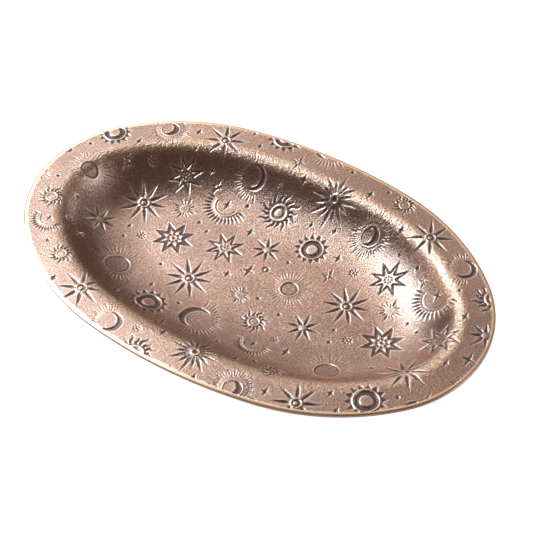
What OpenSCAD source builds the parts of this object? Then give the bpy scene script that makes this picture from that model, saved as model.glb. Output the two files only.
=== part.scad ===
// Oval ring dish pressed from one piece of patterned copper sheet: a flat rim round a shallow bowl.
// X is the long way, Y the short way, Z up. The origin is the middle of the underside, where it is
// flat, on the surface that the dish stands on.

/* [Outline] */
// Length over the rim
dish_l = 110; // [106:1:114]
// Width over the rim
dish_w = 70.8; // [68:0.2:74]
// Radius of the outline at its two ends
end_r = 27.2; // [26.8:0.1:28]
// Radius of the four flanks, between the ends and the long sides
flank_r = 50.4; // [48:0.2:52]
// Radius of the two long sides
side_r = 111.4; // [110:0.2:116]

/* [Section] */
// Thickness of the sheet
sheet_t = 1; // [0.8:0.1:1.3]
// Depth of the basin below the rim
basin_d = 7.2; // [6.3:0.1:7.6]
// Width of the flat rim
rim_w = 6.1; // [5:0.1:6.6]
// Slope of the wall, in degrees below the rim
wall_slope = 41; // [38:1:43]
// Radius of the bend from the rim into the wall, on the upper face
shoulder_r = 5; // [4:0.5:6]
// Radius of the bend from the wall into the bowl, on the upper face
foot_r = 19; // [16:0.5:20]
// Slope at which that bend gives way to the shallow bowl, in degrees
bowl_slope = 10; // [8:1:11]
// Radius of the shallow bowl, on the upper face
bowl_r = 36; // [30:1:38]
// Radius that softens the edge of the sheet
edge_r = 0.3; // [0.2:0.1:0.35]

/* [Finish] */
// Colour of the aged copper
copper = "#a8765f";

/* [Hidden] */
$fn = 160;

// Height of the upper face of the rim
rim_z = basin_d + sheet_t;
// How deep the shoulder, the foot and the bowl each go. The straight wall makes up the rest.
shoulder_d = shoulder_r * (1 - cos(wall_slope));
foot_d = foot_r * (cos(bowl_slope) - cos(wall_slope));
bowl_d = bowl_r * (1 - cos(bowl_slope));
wall_d = basin_d - shoulder_d - foot_d - bowl_d;
// How far in from the edge of the sheet the wall, the foot, the bowl and the flat middle start
wall_in = rim_w + shoulder_r * sin(wall_slope);
foot_in = wall_in + wall_d / tan(wall_slope);
bowl_in = foot_in + foot_r * (sin(wall_slope) - sin(bowl_slope));
floor_in = bowl_in + bowl_r * sin(bowl_slope);
// Flat middle that is swept with the bowl, and how far the floor plate laps over it
flat_run = 0.6;
plate_lap = 0.3;
// Straight steps in each bend of the sheet, and round its edge
bend_steps = 6;
bowl_steps = 3;
edge_steps = 2;

// The outline is a chain of arcs that run smoothly into each other. In the quarter where X and Y
// are positive, their centres are the end's, the flank's and the side's. The flank's centre is
// flank_r - end_r from the first and side_r - flank_r from the last.
end_x = dish_l / 2 - end_r;
side_y = dish_w / 2 - side_r;
gap = norm([end_x, side_y]);
end_arm = flank_r - end_r;
side_arm = side_r - flank_r;
along = (gap * gap + end_arm * end_arm - side_arm * side_arm) / (2 * gap);
off = sqrt(end_arm * end_arm - along * along);
flank_x = end_x + (side_y * off - end_x * along) / gap;
flank_y = (side_y * along + end_x * off) / gap;
// Directions in which the end gives way to the flank, and the flank to the side
end_turn = atan2(-flank_y, end_x - flank_x);
flank_turn = atan2(flank_y - side_y, flank_x);

// Points on the two lines along which neighbouring arcs meet, inside and outside the swept ring
outer_1 = [end_x, 0] + 2 * end_r * [cos(end_turn), sin(end_turn)];
outer_2 = [flank_x, flank_y] + 1.5 * flank_r * [cos(flank_turn), sin(flank_turn)];
inner_2 = [flank_x, flank_y] + 0.4 * flank_r * [cos(flank_turn), sin(flank_turn)];
// How far each sweep runs on past the lines before it is cut
spare_turn = 2;

// Points along an arc
function arc_points(centre, r, from, to, steps) =
    [for (i = [0:steps]) let (a = from + (to - from) * i / steps) centre + r * [cos(a), sin(a)]];

// The outline's upper right quarter, moved in by some distance
function quarter(inset) = concat(
    arc_points([end_x, 0], end_r - inset, 0, end_turn, 10),
    arc_points([flank_x, flank_y], flank_r - inset, end_turn, flank_turn, 8),
    arc_points([0, side_y], side_r - inset, flank_turn, 90, 4));

// The sheet cut through, with its edge at X = 0 and the middle of the dish towards -X: the upper
// face from the edge inwards, then the underside back out
module section() {
    shoulder = [-rim_w, rim_z - shoulder_r];
    bowl = [-floor_in, sheet_t + bowl_r];
    foot = bowl + (bowl_r - foot_r) * [sin(bowl_slope), -cos(bowl_slope)];
    upper_edge = [-edge_r, rim_z - edge_r];
    lower_edge = [-edge_r, rim_z - sheet_t + edge_r];
    polygon(concat(
        arc_points(upper_edge, edge_r, 0, 90, edge_steps),
        arc_points(shoulder, shoulder_r, 90, 90 + wall_slope, bend_steps),
        arc_points(foot, foot_r, 270 + wall_slope, 270 + bowl_slope, bend_steps),
        arc_points(bowl, bowl_r, 270 + bowl_slope, 270, bowl_steps),
        [[-floor_in - flat_run, sheet_t], [-floor_in - flat_run, 0]],
        arc_points(bowl, bowl_r + sheet_t, 270, 270 + bowl_slope, bowl_steps),
        arc_points(foot, foot_r + sheet_t, 270 + bowl_slope, 270 + wall_slope, bend_steps),
        arc_points(shoulder, shoulder_r - sheet_t, 90 + wall_slope, 90, bend_steps),
        arc_points(lower_edge, edge_r, 270, 360, edge_steps)));
}

// The section swept along one arc of the outline, and cut off where the next arc takes over. Zones
// that meet share the two points of their common edge, so the cuts match exactly.
module swept_arc(centre, r, from, to, zone) {
    intersection() {
        translate(centre)
            rotate_extrude(start = from - spare_turn, angle = to - from + 2 * spare_turn)
                translate([r, 0])
                    section();
        translate([0, 0, -rim_z])
            linear_extrude(3 * rim_z)
                polygon(zone);
    }
}

module floor_plate() {
    corner = quarter(floor_in + plate_lap);
    upper = concat(corner, [for (i = [len(corner) - 2:-1:0]) [-corner[i].x, corner[i].y]]);
    lower = [for (i = [len(upper) - 2:-1:1]) [upper[i].x, -upper[i].y]];
    linear_extrude(sheet_t)
        polygon(concat(upper, lower));
}

module tray() {
    color(copper) {
        floor_plate();
        for (sx = [0, 1]) {
            mirror([sx, 0, 0]) {
                swept_arc([end_x, 0], end_r, -end_turn, end_turn,
                    [[end_x, 0], [outer_1.x, -outer_1.y], outer_1]);
                for (sy = [0, 1])
                    mirror([0, sy, 0])
                        swept_arc([flank_x, flank_y], flank_r, end_turn, flank_turn,
                            [[end_x, 0], outer_1, outer_2, inner_2]);
            }
            mirror([0, sx, 0])
                swept_arc([0, side_y], side_r, flank_turn, 180 - flank_turn,
                    [inner_2, outer_2, [-outer_2.x, outer_2.y], [-inner_2.x, inner_2.y]]);
        }
    }
}

tray();
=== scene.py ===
"""Oval trinket dish in aged copper: one pressed sheet, patterned with suns, moons and stars."""

import math

import bpy
import numpy as np
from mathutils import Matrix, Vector, noise
from mathutils.geometry import delaunay_2d_cdt


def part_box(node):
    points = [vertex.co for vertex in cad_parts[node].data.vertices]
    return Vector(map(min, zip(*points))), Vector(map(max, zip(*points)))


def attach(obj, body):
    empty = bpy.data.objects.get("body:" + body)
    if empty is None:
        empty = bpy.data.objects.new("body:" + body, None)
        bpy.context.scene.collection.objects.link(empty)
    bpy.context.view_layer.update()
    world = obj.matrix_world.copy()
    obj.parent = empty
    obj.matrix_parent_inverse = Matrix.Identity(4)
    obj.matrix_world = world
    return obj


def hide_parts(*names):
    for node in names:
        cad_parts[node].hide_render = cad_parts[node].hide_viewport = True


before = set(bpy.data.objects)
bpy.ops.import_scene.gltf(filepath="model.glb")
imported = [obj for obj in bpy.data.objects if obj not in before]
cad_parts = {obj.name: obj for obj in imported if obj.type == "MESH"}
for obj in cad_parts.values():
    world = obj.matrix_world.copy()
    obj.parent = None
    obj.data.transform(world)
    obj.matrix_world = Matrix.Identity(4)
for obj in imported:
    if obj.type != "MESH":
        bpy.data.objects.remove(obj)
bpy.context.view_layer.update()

MM = 0.001  # shapes are worked out in millimetres, and Blender holds metres

# ------------------------------------------------------------------ the dish, as the CAD has it

low, high = (np.array(corner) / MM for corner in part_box("tray"))
HALF_L, HALF_W, RIM_Z = high

END_R, FLANK_R, SIDE_R = 27.2, 50.4, 111.4  # radii of the outline's arcs
SHEET_T = 1.0
RIM_W = 6.1
WALL_SLOPE, BOWL_SLOPE = math.radians(41), math.radians(10)
SHOULDER_R, FOOT_R, BOWL_R = 5.0, 19.0, 36.0  # bends of the upper face, from the rim inwards
BEVEL_IN, BEVEL_D = 0.62, 0.12  # how far in and how deep the edge is rounded over on top
LAND = 0.15  # plain band between the rounding and the pattern
EDGE_R = 0.3  # rounding of the edge underneath
SKIN = 0.13  # room left under the CAD's rim for what the pattern raises


def section(lower=False):
    """Where each stretch of the sheet's section starts, and its arcs' centres and radii.

    Distances are counted in from the edge, and heights up from the table.
    """
    t = SHEET_T if lower else 0.0
    rim_z = RIM_Z - (t if lower else SKIN)
    floor_z = 0.0 if lower else SHEET_T - SKIN
    shoulder_r, foot_r, bowl_r = SHOULDER_R - t, FOOT_R + t, BOWL_R + t
    sin_w, cos_w = math.sin(WALL_SLOPE), math.cos(WALL_SLOPE)
    sin_b, cos_b = math.sin(BOWL_SLOPE), math.cos(BOWL_SLOPE)
    wall_in = RIM_W + shoulder_r * sin_w
    bends_d = shoulder_r * (1 - cos_w) + foot_r * (cos_b - cos_w) + bowl_r * (1 - cos_b)
    foot_in = wall_in + (rim_z - floor_z - bends_d) * cos_w / sin_w
    bowl_in = foot_in + foot_r * (sin_w - sin_b)
    floor_in = bowl_in + bowl_r * sin_b
    shoulder = (RIM_W, rim_z - shoulder_r, shoulder_r)
    bowl = (floor_in, floor_z + bowl_r, bowl_r)
    foot = (floor_in - (bowl_r - foot_r) * sin_b, bowl[1] - (bowl_r - foot_r) * cos_b, foot_r)
    return (wall_in, foot_in, bowl_in, floor_in), shoulder, foot, bowl


def outline_arcs():
    """The outline's quarter where x and y are positive: (centre x, centre y, radius, from, to)."""
    end_x, side_y = HALF_L - END_R, HALF_W - SIDE_R
    gap = math.hypot(end_x, side_y)
    end_arm, side_arm = FLANK_R - END_R, SIDE_R - FLANK_R
    along = (gap**2 + end_arm**2 - side_arm**2) / (2 * gap)
    off = math.sqrt(end_arm**2 - along**2)
    flank_x = end_x + (side_y * off - end_x * along) / gap
    flank_y = (side_y * along + end_x * off) / gap
    end_turn = math.atan2(-flank_y, end_x - flank_x)
    flank_turn = math.atan2(flank_y - side_y, flank_x)
    return [
        (end_x, 0.0, END_R, 0.0, end_turn),
        (flank_x, flank_y, FLANK_R, end_turn, flank_turn),
        (0.0, side_y, SIDE_R, flank_turn, math.pi / 2),
    ]


ARCS = outline_arcs()


def inset_of(x, y):
    """How far in from the outline each point lies, and the unit direction inwards there."""
    ax, ay = np.abs(x), np.abs(y)
    inset, inward_x, inward_y = (np.zeros(ax.shape) for _ in range(3))
    left = np.ones(ax.shape, bool)
    for cx, cy, r, _, turn in ARCS:
        beside = (ax - cx) * math.sin(turn) - (ay - cy) * math.cos(turn)
        here = left & ((beside >= 0) | (turn == ARCS[-1][4]))
        dx, dy = ax[here] - cx, ay[here] - cy
        reach = np.maximum(np.hypot(dx, dy), 1e-9)
        inset[here] = r - reach
        inward_x[here], inward_y[here] = -dx / reach, -dy / reach
        left &= ~here
    return inset, inward_x * np.where(x < 0, -1, 1), inward_y * np.where(y < 0, -1, 1)


def ring_spokes(step):
    """Once round the outline: (centre x, centre y, radius, direction) of points a step apart."""
    quarter = []
    for cx, cy, r, start, stop in ARCS:
        count = round(r * (stop - start) / step)
        quarter += [(cx, cy, r, start + (stop - start) * k / count) for k in range(count)]
    top = (ARCS[-1][0], ARCS[-1][1], ARCS[-1][2], math.pi / 2)
    half = quarter + [top] + [(-cx, cy, r, math.pi - a) for cx, cy, r, a in reversed(quarter)]
    return np.array(half + [(cx, -cy, r, -a) for cx, cy, r, a in reversed(half[1:-1])])


def ring(spokes, inset):
    """The points of those spokes, moved in from the outline. Rings match point for point."""
    cx, cy, r, a = spokes.T
    return np.stack([cx + (r - inset) * np.cos(a), cy + (r - inset) * np.sin(a)], axis=1)


def face_height(inset, lower=False):
    """Height of the sheet's upper or lower face, and its slope, at a distance in from the edge."""
    (wall_in, foot_in, bowl_in, floor_in), shoulder, foot, bowl = section(lower)
    z, slope = np.empty(inset.shape), np.empty(inset.shape)
    for (middle, centre_z, r), from_in, to_in, way in (
        (shoulder, RIM_W, wall_in, 1), (foot, foot_in, bowl_in, -1), (bowl, bowl_in, floor_in, -1),
    ):
        here = (inset >= from_in) & (inset <= to_in)
        run = inset[here] - middle
        rise = np.sqrt(r**2 - run**2)
        z[here], slope[here] = centre_z + way * rise, -way * run / rise
    on_wall = (inset > wall_in) & (inset < foot_in)
    wall_z = shoulder[1] + shoulder[2] * math.cos(WALL_SLOPE)
    z[on_wall] = wall_z - (inset[on_wall] - wall_in) * math.tan(WALL_SLOPE)
    slope[on_wall] = -math.tan(WALL_SLOPE)
    z[inset < RIM_W], slope[inset < RIM_W] = shoulder[1] + shoulder[2], 0
    z[inset > floor_in], slope[inset > floor_in] = bowl[1] - bowl[2], 0
    return z, slope


# ------------------------------------------------------------------ the pressed pattern
#
# The sheet is patterned before it is cut and pressed, by a plate that repeats. Each motif is a
# function of points round its own middle. It returns how deep it cuts, from 0 to 1, and how far it
# raises the sheet, in millimetres.

CUT_DEPTH = 0.2


def step_up(a, b, x):
    """0 below a, 1 above b, and a smooth rise between them."""
    t = np.clip((x - a) / (b - a), 0, 1)
    return t * t * (3 - 2 * t)


def fold(x, y, count, turn=90.0):
    """Each point along and across the nearest of some evenly spaced rays, and that ray's number."""
    pitch = 2 * math.pi / count
    angle = np.arctan2(y, x) - math.radians(turn)
    number = np.round(angle / pitch)
    angle = angle - number * pitch
    r = np.hypot(x, y)
    return r * np.cos(angle), r * np.sin(angle), number.astype(int) % count


def spear(along, across, start, tip, half, widest=0.3):
    """A V-shaped cut, pointed at both ends, a share of its length from its widest place."""
    t = (along - start) / (tip - start)
    width = half * np.clip(np.minimum(t / widest, 1.15 * (1 - t) / (1 - widest)), 0, 1)
    return np.clip(1.7 * (width - np.abs(across)) / half, 0, 1)


def lip(r, radius, width=0.17, height=0.06):
    """A raised ring."""
    return height * np.exp(-(((r - radius) / width) ** 2))


def disc(r, radius, soft=0.16):
    """1 inside a circle, 0 outside it."""
    return 1 - step_up(radius - soft / 2, radius + soft / 2, r)


def fine_rays(x, y, start, tip, count, turn=90.0, half=0.13, short=0.7):
    """Thin scratches round a circle, every other one shorter."""
    along, across, number = fold(x, y, count, turn)
    reach = np.where(number % 2 == 0, tip, start + short * (tip - start))
    return 0.7 * spear(along, across, start, reach, half, 0.25)


def ray_star(x, y, tip, count=10, turn=90.0):
    """Long loose rays round a small ring, with scratches between their feet."""
    r = np.hypot(x, y)
    along, across, _ = fold(x, y, count, turn)
    cut = spear(along, across, 0.17 * tip, 1.03 * tip, 0.4, 0.22)
    feet = fine_rays(x, y, 0.22 * tip, 0.4 * tip, 3 * count, turn, 0.12, 0.6)
    cut = np.maximum(cut, feet * 0.5)
    hollow = disc(r, 0.85) * (1 - disc(np.hypot(x + 0.15, y + 0.1), 0.5))
    return np.maximum(cut, 0.7 * hollow), lip(r, 1.1, 0.22, 0.08)


def long_star(x, y, tip, count=16, turn=0.0):
    """Long rays that meet in a small ring, each with a ridge down its middle."""
    r = np.hypot(x, y)
    along, across, number = fold(x, y, count, turn)
    reach = tip * np.where(number % 2 == 0, 1.05, 0.8)
    cut = spear(along, across, 0.8, reach, 0.4, 0.2)
    ridge = np.exp(-((across / 0.1) ** 2)) * step_up(1.2, 1.8, along) * (along < 0.5 * reach)
    cut = np.maximum(cut - 0.7 * ridge, 0) * (1 - disc(r, 0.95))
    return np.maximum(cut, 0.8 * disc(r, 0.5)), lip(r, 0.85, 0.2, 0.07)


def plain_star(x, y, tip, count=8, turn=90.0):
    """Rays that all start at a small boss."""
    r = np.hypot(x, y)
    along, across, number = fold(x, y, count, turn)
    reach = tip * np.where(number % 2 == 0, 1.05, 0.96)
    cut = spear(along, across, 0.6, reach, 0.34, 0.2)
    feet = fine_rays(x, y, 0.7, 0.4 * tip, 3 * count, turn, 0.14, 0.6)
    cut = np.maximum(cut, 0.6 * feet)
    return cut * (1 - 0.8 * disc(r, 0.75, 0.3)), lip(r, 0.0, 0.6, 0.1)


def sparkle(x, y, tip, turn=90.0):
    """Four narrow points, two of them shorter."""
    along, across, number = fold(x, y, 4, turn)
    reach = tip * np.where(number % 2 == 0, 1.0, 0.7)
    return spear(along, across, -0.3, reach, 0.17 + 0.05 * tip, 0.25), 0 * x


def twinkle(x, y, tip, turn=90.0):
    """A sparkle with four short rays between its points, round a dot."""
    along, across, number = fold(x, y, 8, turn)
    reach = tip * np.array([1.1, 0.45, 0.8, 0.45])[number % 4]
    cut = spear(along, across, 0.2, reach, 0.2, 0.25)
    r = np.hypot(x, y)
    return cut * (1 - disc(r, 0.4, 0.2)), lip(r, 0.0, 0.35, 0.09)


def burst(x, y, tip, turn=90.0):
    """Many thin rays of mixed length with an empty middle."""
    cut = fine_rays(x, y, 0.24 * tip, tip, 16, turn, 0.15, 0.75)
    along, across, _ = fold(x, y, 4, turn)
    return np.maximum(cut, 0.8 * spear(along, across, 0.25 * tip, 1.1 * tip, 0.2)), 0 * x


def flower(x, y, tip, turn=90.0):
    """A tiny ring with eight petals."""
    r = np.hypot(x, y)
    along, across, _ = fold(x, y, 8, turn)
    cut = spear(along, across, 0.35, tip, 0.2, 0.35)
    return np.maximum(cut, 0.7 * disc(r, 0.3)), lip(r, 0.45, 0.14, 0.05)


def dot(x, y, size):
    """A punched dot."""
    return 0.9 * disc(np.hypot(x, y), size, 0.3), 0 * x


def ringlet(x, y, size):
    """A small ring cut round a dot of its own."""
    r = np.hypot(x, y)
    return 0.8 * np.exp(-(((r - size) / 0.16) ** 2)), lip(r, 0.0, 0.3, 0.05)


def gear_sun(x, y, tip, turn=90.0):
    """A domed disc in a sunken ring, a raised ring round that, and short pointed teeth."""
    r = np.hypot(x, y)
    band = disc(r, 0.52 * tip, 0.2) * (1 - disc(r, 0.32 * tip, 0.25))
    along, across, _ = fold(x, y, 14, turn)
    foot = 0.66 * tip
    half = 0.15 * tip * np.clip((tip - along) / (tip - foot), 0, 1) ** 1.3
    teeth = np.clip((half - np.abs(across)) / 0.2, 0, 1) * step_up(foot - 0.1, foot + 0.1, along)
    dome = 0.06 * np.clip(1 - (r / (0.32 * tip)) ** 2, 0, 1)
    return np.maximum(band, 0.65 * teeth), dome + lip(r, 0.59 * tip, 0.2, 0.1)


def flame_rays(x, y, start, tip, count, half, turn=90.0):
    """Rays that wave from side to side, every other one shorter."""
    along, across, number = fold(x, y, count, turn)
    reach = np.where(number % 2 == 0, tip, start + 0.7 * (tip - start))
    t = np.clip((along - start) / (reach - start), 0, 1)
    sway = 0.14 * (reach - start) * np.sin(2 * math.pi * 1.1 * t) * (1 - 0.3 * t)
    return spear(along, across - sway, start, reach, half, 0.12)


def flame_sun(x, y, tip, count=16, turn=88.0):
    """A domed disc in two rings, with waving rays."""
    r = np.hypot(x, y)
    cut = flame_rays(x, y, 0.4 * tip, 1.06 * tip, count, 0.36, turn)
    moat = 0.5 * np.exp(-(((r - 0.44 * tip) / 0.18) ** 2))
    groove = 0.6 * np.exp(-(((r - 0.225 * tip) / 0.16) ** 2))
    dome = 0.06 * np.clip(1 - (r / (0.2 * tip)) ** 2, 0, 1)
    cut = np.maximum(np.maximum(cut, moat), groove)
    return cut, dome + lip(r, 0.36 * tip, 0.3, 0.09)


def small_flame(x, y, tip, count=14, turn=90.0):
    """A domed disc with short waving rays."""
    r = np.hypot(x, y)
    cut = flame_rays(x, y, 0.38 * tip, 1.1 * tip, count, 0.27, turn)
    moat = 0.35 * np.exp(-(((r - 0.44 * tip) / 0.15) ** 2))
    groove = 0.35 * np.exp(-(((r - 0.25 * tip) / 0.13) ** 2))
    return np.maximum(np.maximum(cut, groove), moat), lip(r, 0.34 * tip, 0.2, 0.07)


def full_moon(x, y, size, turn=90.0):
    """A sunken disc in a raised ring, with fine rays all round it."""
    r = np.hypot(x, y)
    rays = fine_rays(x, y, size + 0.8, size + 4.4, 36, turn, 0.13, 0.6)
    stipple = 0.35 + 0.12 * np.sin(9 * x + 2 * np.sin(5 * y)) * np.sin(9.5 * y + 2 * np.sin(4 * x))
    groove = 0.75 * np.exp(-(((r - size + 0.15) / 0.15) ** 2))
    cut = np.maximum(stipple * disc(r, size, 0.22), groove)
    return np.maximum(cut, 0.6 * rays), lip(r, size + 0.2, 0.17, 0.08)


def ringed_moon(x, y, size, turn=0.0):
    """A lens-shaped moon in a raised ring, the rest of the ring sunken, with rays all round."""
    r = np.hypot(x, y)
    lit = disc(np.hypot((x + 0.26 * size) / 0.78, y), 0.78 * size, 0.15)
    dark = disc(r, 0.86 * size, 0.15) * (1 - lit)
    rays = fine_rays(x, y, 1.3 * size, 2.5 * size, 44, turn, 0.14, 0.75)
    along, across, _ = fold(x, y, 4, turn + 90)
    rays = np.maximum(rays, 0.6 * spear(along, across, 1.3 * size, 3.0 * size, 0.15))
    return np.maximum(0.95 * dark, rays), lip(r, size, 0.17, 0.09)


def crescent(x, y, size, thick, facing, rays_from, rays_to, ray_tip):
    """A thin sunken crescent on one side, and rays round the other."""
    r = np.hypot(x, y)
    a = math.radians(facing)
    shift = thick * 0.75
    inner = np.hypot(x + shift * math.cos(a), y + shift * math.sin(a))
    moon = disc(r, size, 0.15) * (1 - disc(inner, size - thick * 0.25, 0.15))
    angle = np.degrees(np.arctan2(y, x)) % 360
    swept = (angle - rays_from) % 360 < (rays_to - rays_from) % 360
    rays = fine_rays(x, y, size + 0.3, ray_tip, 40, rays_from, 0.15, 0.7) * swept
    edge = lip(inner, size - thick * 0.25 - 0.15, 0.15, 0.07) * (np.cos(np.radians(angle) - a) > 0.1)
    return np.maximum(0.85 * moon, 0.8 * rays), edge


def half_sun(x, y, size, tip, facing=262.0):
    """A raised arc with bars fanned out under it, and a small star over it."""
    r = np.hypot(x, y)
    angle = (np.degrees(np.arctan2(y, x)) - facing + 180) % 360 - 180
    along, across, _ = fold(x, y, 32, facing)
    bars = spear(along, across, 1.14 * size, 1.05 * tip, 0.25, 0.25) * (np.abs(angle) < 97)
    arc = (1 - step_up(86, 96, np.abs(angle))) * lip(r, size, 0.22, 0.13)
    trench = 0.5 * np.exp(-(((r - 0.9 * size) / 0.12) ** 2)) * (np.abs(angle) < 88)
    star, _ = sparkle(x, y - 0.05 * size, 0.6 * size)
    return np.maximum(np.maximum(0.85 * bars, trench), 0.8 * star), arc


def star_edge(x, y, tip, notch, count, turn):
    """Distance to the outline of a pointed star, negative inside it."""
    along, across, _ = fold(x, y, count, turn)
    across = np.abs(across)
    half_pitch = math.pi / count
    nx, ny = notch * math.cos(half_pitch), notch * math.sin(half_pitch)
    ex, ey = nx - tip, ny
    length = math.hypot(ex, ey)
    t = np.clip(((along - tip) * ex + across * ey) / length**2, 0, 1)
    away = np.hypot(along - tip - t * ex, across - t * ey)
    side = (along - tip) * ey - across * ex
    return np.where(side < 0, -away, away)


def outlined_star(x, y, tip, count=8, turn=90.0):
    """A star drawn by a cut round its outline, with a small flower in its middle."""
    r = np.hypot(x, y)
    edge = star_edge(x, y, tip, 0.42 * tip, count, turn)
    cut = 0.9 * np.exp(-(((edge + 0.14) / 0.17) ** 2))
    petals, _ = flower(x, y, 1.25, turn + 22.5)
    inside = 0.06 * step_up(0.25, 0.5, -edge)
    return np.maximum(cut, 0.8 * petals), inside + lip(r, 0.3, 0.2, 0.05)


def floret_star(x, y, tip, count=8, turn=90.0):
    """A star with a broad sunken border round a rosette of beads."""
    r = np.hypot(x, y)
    edge = star_edge(x, y, tip, 0.5 * tip, count, turn)
    inner = star_edge(x, y, 0.62 * tip, 0.33 * tip, count, turn)
    border = step_up(-0.2, 0.0, inner) * (1 - step_up(-0.1, 0.1, edge))
    along, across, _ = fold(x, y, count, turn)
    beads = disc(np.hypot(along - 1.75, across), 0.42, 0.2)
    along, across, _ = fold(x, y, count, turn + 180 / count)
    pits = disc(np.hypot(along - 1.15, across), 0.28, 0.2)
    cut = np.maximum(0.65 * border, 0.6 * pits) * (1 - beads)
    rise = 0.06 * beads + lip(r, 0.62, 0.2, 0.06) + lip(inner, -0.1, 0.18, 0.05)
    return np.maximum(cut, 0.6 * disc(r, 0.3)), rise + lip(edge, 0.12, 0.16, 0.04)


# One repeat of the plate: each motif, how far it reaches, and where its middle lies when the
# repeat is centred on the dish. x runs along the dish and y across it. Another program fitted these
# places and the repeat to the photograph, which breaks a rule of this work: see report.md.
REPEAT_X, REPEAT_Y = 54.5, 53.8
REPEAT_TURN = math.radians(-2.6)

MOTIFS = [
    (ray_star, 6.6, -12.1, -7.4, dict(tip=6.3)),
    (ray_star, 6.4, 21.5, 3.5, dict(tip=6.0, turn=89)),
    (ray_star, 6.0, 30.3, 24.7, dict(tip=5.7, count=8, turn=24)),
    (long_star, 6.5, 5.9, 25.3, dict(tip=6.2)),
    (gear_sun, 4.7, 6.9, 13.6, dict(tip=4.3)),
    (gear_sun, 5.1, -14.9, -18.8, dict(tip=4.7, turn=86)),
    (full_moon, 7.0, -27.2, -12.9, dict(size=2.6)),
    (full_moon, 6.4, 8.3, 1.3, dict(size=1.85)),
    (half_sun, 6.2, -16.2, 14.9, dict(size=2.8, tip=5.8)),
    (half_sun, 4.8, 9.9, -16.2, dict(size=2.1, tip=4.3, facing=270)),
    (ringed_moon, 6.6, 17.4, 21.2, dict(size=2.15)),
    (crescent, 6.0, -13.6, 22.8,
        dict(size=2.45, thick=0.95, facing=5, rays_from=100, rays_to=300, ray_tip=5.8)),
    (crescent, 7.6, -4.4, -16.7,
        dict(size=3.35, thick=1.3, facing=172, rays_from=255, rays_to=100, ray_tip=7.4)),
    (flame_sun, 5.6, -4.6, 18.5, dict(tip=5.2)),
    (small_flame, 3.9, 6.5, -10.5, dict(tip=3.6)),
    (small_flame, 3.7, 18.4, -23.3, dict(tip=3.3)),
    (outlined_star, 4.6, -10.1, 4.3, dict(tip=4.4)),
    (outlined_star, 4.6, 26.1, 13.8, dict(tip=4.2, turn=88)),
    (floret_star, 5.1, -21.5, 0.8, dict(tip=4.9)),
    (plain_star, 4.7, 16.4, -6.6, dict(tip=4.4, turn=97)),
    (plain_star, 4.6, -1.7, 8.6, dict(tip=4.2, turn=67)),
    (burst, 3.2, -0.1, -5.7, dict(tip=2.9)),
    (burst, 3.5, -24.2, 9.4, dict(tip=3.3)),
    (twinkle, 2.7, 13.8, 8.9, dict(tip=2.4)),
    (twinkle, 2.1, -20.7, 17.7, dict(tip=1.8)),
    (twinkle, 2.8, -6.1, 29.8, dict(tip=2.5)),
    (flower, 1.6, 18.3, 12.3, dict(tip=1.3)),
    (flower, 1.6, 26.2, -4.7, dict(tip=1.3)),
    (flower, 1.4, 12.9, -12.7, dict(tip=1.0)),
    (flower, 1.4, -7.8, 24.1, dict(tip=1.0)),
    (ringlet, 1.1, 1.0, 3.5, dict(size=0.6)),
    (sparkle, 2.6, -2.0, 1.2, dict(tip=2.4)),
    (sparkle, 1.8, -7.7, 11.1, dict(tip=1.6)),
    (sparkle, 1.6, 13.3, 14.2, dict(tip=1.4)),
    (sparkle, 1.8, 12.8, 29.4, dict(tip=1.6)),
    (sparkle, 1.4, -16.4, 29.7, dict(tip=1.1)),
    (sparkle, 1.8, -2.7, 26.3, dict(tip=1.6)),
    (sparkle, 1.2, 3.6, 19.0, dict(tip=0.9)),
    (sparkle, 1.2, 9.2, 19.6, dict(tip=0.9)),
    (sparkle, 1.2, -16.3, 6.3, dict(tip=0.9)),
    (sparkle, 1.1, -19.2, 7.8, dict(tip=0.8)),
    (sparkle, 1.5, -5.6, -2.0, dict(tip=1.3)),
    (sparkle, 2.2, 16.8, -14.5, dict(tip=1.9)),
    (sparkle, 1.4, -17.9, -13.4, dict(tip=1.1)),
    (sparkle, 1.2, 22.4, -3.7, dict(tip=0.9)),
    (sparkle, 1.4, -23.5, 20.0, dict(tip=1.1)),
    (sparkle, 1.1, 25.6, 19.4, dict(tip=0.8)),
    (sparkle, 1.6, 23.5, 23.9, dict(tip=1.4)),
    (sparkle, 1.5, -21.9, -20.9, dict(tip=1.3)),
    (dot, 0.6, -11.9, 16.9, dict(size=0.3)),
    (dot, 0.6, 3.9, -4.5, dict(size=0.3)),
    (dot, 0.6, 10.1, -6.1, dict(size=0.3)),
    (dot, 0.6, 23.1, -7.1, dict(size=0.3)),
    (dot, 0.6, -9.9, -14.8, dict(size=0.3)),
    (dot, 0.6, 3.6, -20.4, dict(size=0.3)),
    (dot, 0.6, 4.2, 7.8, dict(size=0.3)),
    (dot, 0.6, -19.7, -7.1, dict(size=0.3)),
    (dot, 0.6, 13.6, -21.7, dict(size=0.3)),
]


def pattern_at(x, y):
    """How deep the plate cuts and how far it raises the sheet, at points of the dish."""
    cut, raised = np.zeros(x.shape), np.zeros(x.shape)
    sin, cos = math.sin(REPEAT_TURN), math.cos(REPEAT_TURN)
    for column in (-1, 0, 1):
        for row in (-1, 0, 1):
            shift_x = column * REPEAT_X * cos - row * REPEAT_Y * sin
            shift_y = column * REPEAT_X * sin + row * REPEAT_Y * cos
            for motif, reach, mid_x, mid_y, how in MOTIFS:
                dx, dy = x - mid_x - shift_x, y - mid_y - shift_y
                near = (np.abs(dx) < reach) & (np.abs(dy) < reach)
                if near.any():
                    depth, height = motif(dx[near], dy[near], **how)
                    cut[near] = np.maximum(cut[near], depth)
                    raised[near] = np.maximum(raised[near], height)
    return cut, raised


# ------------------------------------------------------------------ the mesh

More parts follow.
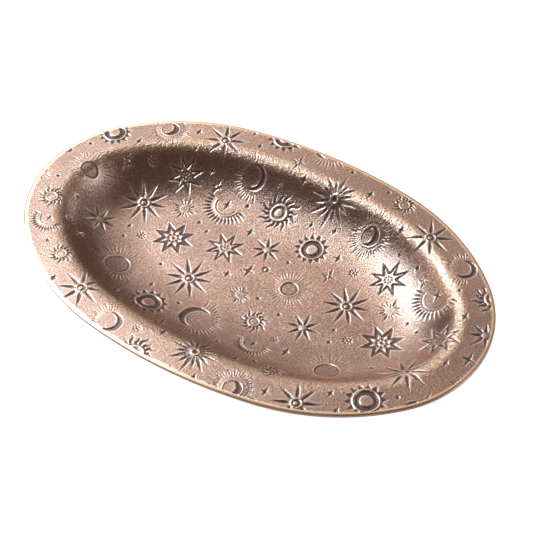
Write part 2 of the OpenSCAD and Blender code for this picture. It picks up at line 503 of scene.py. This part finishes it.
FINE = 0.21  # spacing of points on the pattern, twice that elsewhere
BACK = 1.3  # spacing of points on the plain underside
ROW = math.sqrt(3) / 2  # rows of a triangular grid lie this share of its spacing apart
RING_STEP = 0.4
EDGE_STEPS = 5  # in each quarter turn of the sheet's edge
UNEVEN = 0.036  # difference between neighbours above which the relief gets the fine points

RAISED, BURR = 0.8, 0.08  # share of the motifs' rise that is kept, and height of the burr on a cut
SOAK = 0.4  # patina in a full cut, and again round it
DEEP, PROUD = 0.5, 0.05  # depth that is dark all over, and height that is rubbed quite bright
SHEEN_FROM, SHEEN_TO, SHEEN_FADE = 22, 34, 0.45  # painted sheen: where patina is thinned across the rim's near left side to paint the light there, and by how much
SHOULDER_MID, SHOULDER_REACH = RIM_W + 1.6, 2.2  # the band that pressing stretched
PITS, PIT_SIZE = 0.04, 0.7  # unevenness of that band
WAVES, WAVE_SIZE = 0.03, 9  # slow unevenness of the whole sheet
GRAIN_SLICE = 7.3  # height at which the random heights are cut from their field


def hex_points(step):
    """Rows of points in a triangular grid over the dish, and which of them a grid twice as wide has."""
    last_row, last_column = int(HALF_W / (step * ROW)), int(HALF_L / step)
    rows = np.arange(-last_row - 1, last_row + 2)
    columns = np.arange(-last_column - 2, last_column + 3)
    i, j = np.meshgrid(columns, rows)
    x = (i + 0.5 * (j % 2)) * step
    y = j * step * ROW
    wide = (j % 2 == 0) & (i % 2 == (j // 2) % 2)
    return x, y, wide


def spread(mask):
    """A mask grown by one grid point each way."""
    grown = mask.copy()
    for axis in (0, 1):
        for way in (-1, 1):
            grown |= np.roll(mask, way, axis)
    return grown


def blurred(values, times):
    """Values on the grid, averaged with their neighbours."""
    for _ in range(times):
        beside = [np.roll(values, way, axis) for axis in (0, 1) for way in (-1, 1)]
        values = (2 * values + sum(beside)) / 6
    return values


def triangles(rim_points, inner_points):
    """Triangles over a ring of points and the points inside it, by their place in both lists."""
    points = [Vector(p) for p in np.concatenate([rim_points, inner_points])]
    _, _, faces, sources, _, _ = delaunay_2d_cdt(points, [], [], 0, 1e-7)
    first = np.array([s[0] for s in sources])
    return first[np.array(faces)]


def grain(x, y, size):
    """Smooth random heights between about -1 and 1."""
    return np.array([noise.noise(Vector((a / size, b / size, GRAIN_SLICE))) for a, b in zip(x, y)])


def upper_face(spokes):
    """Points, triangles, and patina, rubbing and painted sheen of the patterned face, with the ring at
    its edge first.
    """
    x, y, wide = hex_points(FINE)
    inset, _, _ = inset_of(x, y)
    cut, raised = pattern_at(x, y)
    kept = step_up(BEVEL_IN + LAND, BEVEL_IN + 2 * LAND, inset)
    cut, raised = cut * kept, raised * kept
    burr = np.clip(blurred(cut, 3) - cut, 0, 1)
    relief = RAISED * raised + BURR * burr - CUT_DEPTH * cut
    sunk = blurred(relief, 8) - relief
    patina = np.clip(SOAK * cut + SOAK * blurred(cut, 4) + sunk / DEEP, 0, 1)
    rubbed = np.clip(-sunk / PROUD, 0, 1)
    # Painted sheen: patina is thinned along the rim's near left side to paint the pale light that falls
    # there.
    sheen_side = step_up(SHEEN_FROM, SHEEN_TO, -0.45 * x - 0.9 * y) * (1 - step_up(5, 9, inset))
    patina = patina * (1 - SHEEN_FADE * sheen_side)

    change = sum(np.abs(relief - np.roll(relief, 1, axis)) for axis in (0, 1))
    use = (wide | spread(change > UNEVEN)) & (inset > BEVEL_IN + LAND + 0.3 * RING_STEP)
    x, y, relief, patina, rubbed = x[use], y[use], relief[use], patina[use], rubbed[use]

    edge = ring(spokes, BEVEL_IN + LAND)
    faces = triangles(edge, np.stack([x, y], axis=1))
    x, y = np.concatenate([edge[:, 0], x]), np.concatenate([edge[:, 1], y])
    flat = np.zeros(len(edge))
    relief, patina, rubbed = (np.concatenate([flat, part]) for part in (relief, patina, rubbed))
    inset, inward_x, inward_y = inset_of(x, y)
    z, slope = face_height(inset)
    bent = np.exp(-(((inset - SHOULDER_MID) / SHOULDER_REACH) ** 2))
    relief = relief + PITS * bent * grain(x, y, PIT_SIZE)
    relief = relief + WAVES * step_up(1, 3, inset) * grain(x, y, WAVE_SIZE)
    tilt = np.sqrt(1 + slope**2)
    points = np.stack([
        x - relief * slope * inward_x / tilt,
        y - relief * slope * inward_y / tilt,
        z + relief / tilt,
    ], axis=1)
    points[: len(edge), 2] = RIM_Z - SKIN
    return points, faces, {"patina": patina, "rubbed": rubbed, "stretched": bent}


def lower_face(spokes):
    """Points and triangles of the plain underside, with the ring at its edge first."""
    x, y, _ = hex_points(BACK)
    inset, _, _ = inset_of(x, y)
    use = inset > EDGE_R + 0.5 * BACK
    edge = ring(spokes, EDGE_R)
    inner = np.stack([x[use], y[use]], axis=1)
    faces = triangles(edge, inner)
    flat = np.concatenate([edge, inner])
    z, _ = face_height(inset_of(flat[:, 0], flat[:, 1])[0], lower=True)
    return np.column_stack([flat, z]), faces[:, ::-1]


def edge_rings(spokes):
    """The rings of the sheet's edge, from the upper face's own ring down to the lower face's."""
    top, bottom = RIM_Z - SKIN, RIM_Z - SHEET_T
    rings = []
    for reach, rise, middle, start in (
        (BEVEL_IN, BEVEL_D, top - BEVEL_D, 90), (EDGE_R, EDGE_R, bottom + EDGE_R, 0),
    ):
        for k in range(EDGE_STEPS + 1):
            a = math.radians(start - 90 * k / EDGE_STEPS)
            flat = ring(spokes, reach * (1 - math.cos(a)))
            rings.append(np.column_stack([flat, np.full(len(flat), middle + rise * math.sin(a))]))
    return rings[:-1]


def strip(first, second):
    """Quads between two rings of point numbers."""
    return np.stack([first, second, np.roll(second, -1), np.roll(first, -1)], axis=1)


def tray_mesh():
    """The whole sheet as one closed mesh, with its patina, rubbing and painted sheen as attributes."""
    spokes = ring_spokes(RING_STEP)
    count = len(spokes)
    upper, upper_faces, wear_and_sheen = upper_face(spokes)
    lower, lower_faces = lower_face(spokes)
    rings = edge_rings(spokes)
    points = np.concatenate([upper, *rings, lower])
    starts = [0] + [len(upper) + k * count for k in range(len(rings) + 1)]
    numbers = [start + np.arange(count) for start in starts]
    quads = np.concatenate([strip(a, b) for a, b in zip(numbers, numbers[1:])])
    faces = upper_faces.tolist() + (lower_faces + starts[-1]).tolist() + quads.tolist()

    mesh = bpy.data.meshes.new("tray_sheet")
    mesh.from_pydata((points * MM).tolist(), [], faces)
    mesh.validate()
    polished, cut_edge = np.zeros(len(points)), np.zeros(len(points))
    polished[:count] = 1
    polished[len(upper): starts[-1] + count] = 1
    cut_edge[starts[EDGE_STEPS + 1]: starts[-1] + count] = 1
    below = np.zeros(len(points) - len(upper))
    wear_and_sheen = {name: np.concatenate([values, below]) for name, values in wear_and_sheen.items()}
    for name, values in {**wear_and_sheen, "polished": polished, "cut_edge": cut_edge}.items():
        layer = mesh.attributes.new(name, "FLOAT", "POINT")
        layer.data.foreach_set("value", values)
    mesh.shade_smooth()
    return mesh


# ------------------------------------------------------------------ materials

SAND_BUMP, SPECKLE_BUMP = 0.042 * MM, 0.06 * MM


class Nodes:
    """A material's node tree, built by short calls."""

    def __init__(self, name):
        self.material = bpy.data.materials.new(name)
        self.material.use_nodes = True
        self.tree = self.material.node_tree
        self.shader = self.tree.nodes["Principled BSDF"]

    def add(self, kind, inputs=(), **settings):
        node = self.tree.nodes.new("ShaderNode" + kind)
        for key, value in settings.items():
            setattr(node, key, value)
        for key, value in dict(inputs).items():
            self.set(node.inputs[key], value)
        return node

    def set(self, socket, value):
        if isinstance(value, bpy.types.NodeSocket):
            self.tree.links.new(value, socket)
        else:
            socket.default_value = value

    def attribute(self, name):
        return self.add("Attribute", attribute_name=name).outputs["Fac"]

    def noise(self, place, scale, detail, roughness):
        inputs = {"Vector": place, "Scale": scale, "Detail": detail, "Roughness": roughness}
        return self.add("TexNoise", inputs).outputs["Fac"]

    def range(self, value, from_low, from_high, to_low=0.0, to_high=1.0):
        inputs = {0: value, 1: from_low, 2: from_high, 3: to_low, 4: to_high}
        return self.add("MapRange", inputs, interpolation_type="SMOOTHSTEP").outputs[0]

    def math(self, operation, a, b=0.0):
        return self.add("Math", {0: a, 1: b}, operation=operation).outputs[0]

    def blend(self, share, a, b):
        node = self.add("Mix", data_type="RGBA")
        self.set(node.inputs[0], share)
        self.set(node.inputs[6], a)
        self.set(node.inputs[7], b)
        return node.outputs[2]


def aged_copper():
    """Satin copper, sandy and browned in patches, with dark patina in the cuts.

    The stretched shoulder is rougher, with a gold tone that is partly its own and partly a painted
    highlight, brightest along the shoulder's top; the lip is polished metal brightened further as a
    painted highlight, and the cut edge brown.
    """
    n = Nodes("aged_copper")
    place = n.add("TexCoord").outputs["Object"]
    patina = n.attribute("patina")
    rubbed = n.attribute("rubbed")
    stretched = n.attribute("stretched")
    polished = n.attribute("polished")
    cut_edge = n.attribute("cut_edge")
    sandy = n.math("SUBTRACT", 1.0, n.math("MAXIMUM", polished, n.math("MULTIPLY", rubbed, 0.6)))

    sand = n.noise(place, 4200, 2.0, 0.7)
    speckle = n.noise(place, 1900, 2.0, 0.6)
    clouds = n.noise(place, 160, 4.0, 0.6)
    patches = n.noise(place, 38, 3.0, 0.5)

    bright = (0.72, 0.455, 0.33, 1)
    worn = (0.57, 0.355, 0.25, 1)
    # The shoulder's two colours below are partly painted highlight: a gold tone, and a paler one along
    # its top.
    golden_and_highlight = (0.98, 0.58, 0.36, 1)
    crest_highlight = (1.0, 0.7, 0.47, 1)
    # The lip's polished colour is brightened beyond the metal's own as a painted highlight.
    burnish_and_highlight = (1.0, 0.74, 0.5, 1)
    rubbed_bright = (0.86, 0.64, 0.52, 1)
    brown = (0.24, 0.155, 0.125, 1)
    dark = (0.09, 0.068, 0.064, 1)
    colour = n.blend(n.range(patches, 0.35, 0.65), bright, worn)
    # Painted highlight on the shoulder: gold over the stretched band, partly its own tone, and paler
    # along its top.
    colour = n.blend(n.range(stretched, 0.3, 0.8, 0.0, 0.8), colour, golden_and_highlight)
    colour = n.blend(n.range(stretched, 0.75, 1.0, 0.0, 0.9), colour, crest_highlight)
    colour = n.blend(n.range(clouds, 0.42, 0.75, 0, 0.18), colour, brown)
    specks = n.math("MULTIPLY", n.range(sand, 0.42, 0.62, 0.0, 0.85), sandy)
    colour = n.blend(specks, colour, brown)
    glints = n.math("MULTIPLY", n.range(sand, 0.32, 0.46, 0.3, 0.0), sandy)
    colour = n.blend(glints, colour, rubbed_bright)
    rough_pits = n.math("MULTIPLY", stretched, n.range(speckle, 0.5, 0.58))
    colour = n.blend(n.math("MULTIPLY", rough_pits, 0.4), colour, brown)
    colour = n.blend(n.math("MULTIPLY", rubbed, 0.8), colour, rubbed_bright)
    # Painted highlight on the lip: polished edge colour, brighter than the bare metal.
    colour = n.blend(n.math("MULTIPLY", polished, 0.9), colour, burnish_and_highlight)
    colour = n.blend(cut_edge, colour, brown)
    soaked = n.range(patina, 0.03, 0.65, 0.0, 0.92)
    stain = n.math("MULTIPLY", soaked, n.range(sand, 0.3, 0.7, 1.0, 0.8))
    colour = n.blend(stain, colour, dark)
    n.set(n.shader.inputs["Base Color"], colour)
    n.set(n.shader.inputs["Metallic"], 1.0)
    n.set(n.shader.inputs["Coat Weight"], 0.35)
    n.set(n.shader.inputs["Coat Roughness"], 0.25)

    rough = n.range(clouds, 0.3, 0.7, 0.23, 0.27)
    rough = n.math("ADD", rough, n.math("MULTIPLY", stain, 0.25))
    rough = n.math("ADD", rough, n.math("MULTIPLY", stretched, 0.04))
    rough = n.math("SUBTRACT", rough, n.math("MULTIPLY", polished, 0.04))
    n.set(n.shader.inputs["Roughness"], rough)

    fine_height = n.math("MULTIPLY", n.math("SUBTRACT", sand, 0.5), sandy)
    fine_bump = n.add("Bump", {"Strength": 1.0, "Distance": SAND_BUMP, "Height": fine_height})
    depth = n.math("ADD", n.math("MULTIPLY", stretched, 1.8), n.math("MULTIPLY", sandy, 0.15))
    height = n.math("MULTIPLY", n.math("SUBTRACT", speckle, 0.5), depth)
    bump = n.add("Bump", {"Strength": 1.0, "Distance": SPECKLE_BUMP, "Height": height})
    n.set(bump.inputs["Normal"], fine_bump.outputs[0])
    n.set(n.shader.inputs["Normal"], bump.outputs[0])
    return n.material


def pale_floor():
    """Matt white studio floor."""
    n = Nodes("studio_floor")
    n.set(n.shader.inputs["Base Color"], (0.86, 0.86, 0.86, 1))
    n.set(n.shader.inputs["Roughness"], 0.9)
    n.set(n.shader.inputs["Emission Color"], (1, 1, 1, 1))
    n.set(n.shader.inputs["Emission Strength"], 0.85)
    return n.material


# ------------------------------------------------------------------ the tray

tray = bpy.data.objects.new("tray_sheet", tray_mesh())
bpy.context.scene.collection.objects.link(tray)
tray.data.materials.append(aged_copper())
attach(tray, "root")
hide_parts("tray")

# ------------------------------------------------------------------ floor, camera and light

FLOOR_SIZE = 6
FLOOR_DROP = 0.02 * MM  # keeps the floor and the dish's underside out of one plane

bpy.ops.mesh.primitive_plane_add(size=FLOOR_SIZE, location=(0, 0, -FLOOR_DROP))
floor = bpy.context.object
floor.name = "studio_floor"
floor.data.materials.append(pale_floor())

CAMERA_TURN, CAMERA_RISE = math.radians(31.2), math.radians(48.8)
CAMERA_AWAY = 0.3536
CAMERA_AIM = Vector((0.0005, 0.0046, 0.0005))
FOCAL_MM = 107.9


def toward(turn, rise):
    """Unit vector to a place seen from the dish: turned from -Y towards +X, and up."""
    flat = math.cos(rise)
    return Vector((math.sin(turn) * flat, -math.cos(turn) * flat, math.sin(rise)))


def facing(spot, aim):
    """The rotation of a camera or lamp at a spot that looks at an aim."""
    return (aim - spot).to_track_quat("-Z", "Y").to_euler()


camera = bpy.data.objects.new("camera", bpy.data.cameras.new("camera"))
bpy.context.scene.collection.objects.link(camera)
camera.data.lens = FOCAL_MM
camera.data.sensor_width = 36
camera.data.clip_start = 0.01
camera.location = CAMERA_AIM + toward(CAMERA_TURN, CAMERA_RISE) * CAMERA_AWAY
camera.rotation_euler = facing(camera.location, CAMERA_AIM)
bpy.context.scene.camera = camera


LAMP_AWAY = 0.9


def softbox(name, turn, rise, width, height, radiance, tint=(1, 1, 1)):
    """A soft rectangular lamp round the dish. turn is counted from behind the dish, left positive."""
    data = bpy.data.lights.new(name, "AREA")
    data.shape = "RECTANGLE"
    data.size, data.size_y = width, height
    data.energy = radiance * math.pi * width * height
    data.color = tint
    lamp = bpy.data.objects.new(name, data)
    bpy.context.scene.collection.objects.link(lamp)
    lamp.location = toward(CAMERA_TURN + math.pi + math.radians(turn), math.radians(rise)) * LAMP_AWAY
    lamp.rotation_euler = facing(lamp.location, Vector((0, 0, 0)))


# The lamps' strengths and tints, and the world's colour, started from another program's fit to the
# photograph, which breaks the same rule: see report.md.
BLUE, COOL, WARM = (0.79, 1.01, 1.22), (0.93, 1.0, 1.09), (1.1, 0.98, 0.92)
softbox("key", 62, 52, 0.35, 0.25, 6.4, BLUE)
softbox("key_middle", 36, 52, 0.25, 0.22, 3.3, BLUE)
softbox("key_end", 20, 50, 0.25, 0.22, 2.4, (0.88, 1.0, 1.14))
softbox("key_top", 48, 62, 0.38, 0.19, 1.92)
softbox("side", 22, 36, 0.45, 0.32, 0.816, COOL)
softbox("back", 0, 48, 0.3, 0.52, 0.52, WARM)
softbox("back_right", -17, 46, 0.22, 0.45, 0.23, COOL)
softbox("middle_right", -57, 46, 1.04, 0.48, 0.163, COOL)
softbox("right", -99, 36, 0.32, 0.48, 1.536, COOL)
softbox("middle_back", 10, 24, 0.65, 0.22, 0.816, COOL)
softbox("low_back", 8, 8, 0.65, 0.25, 0.768)
softbox("middle_left", 60, 28, 0.48, 0.32, 0.55)
softbox("low_left", 84, 7, 0.73, 0.22, 3.264, WARM)
softbox("low_right", -72, 8, 0.84, 0.25, 2.304, COOL)

world = bpy.data.worlds.new("studio")
world.use_nodes = True
world.node_tree.nodes["Background"].inputs["Color"].default_value = (0.125, 0.093, 0.083, 1)
bpy.context.scene.world = world
bpy.context.scene.view_settings.view_transform = "Standard"
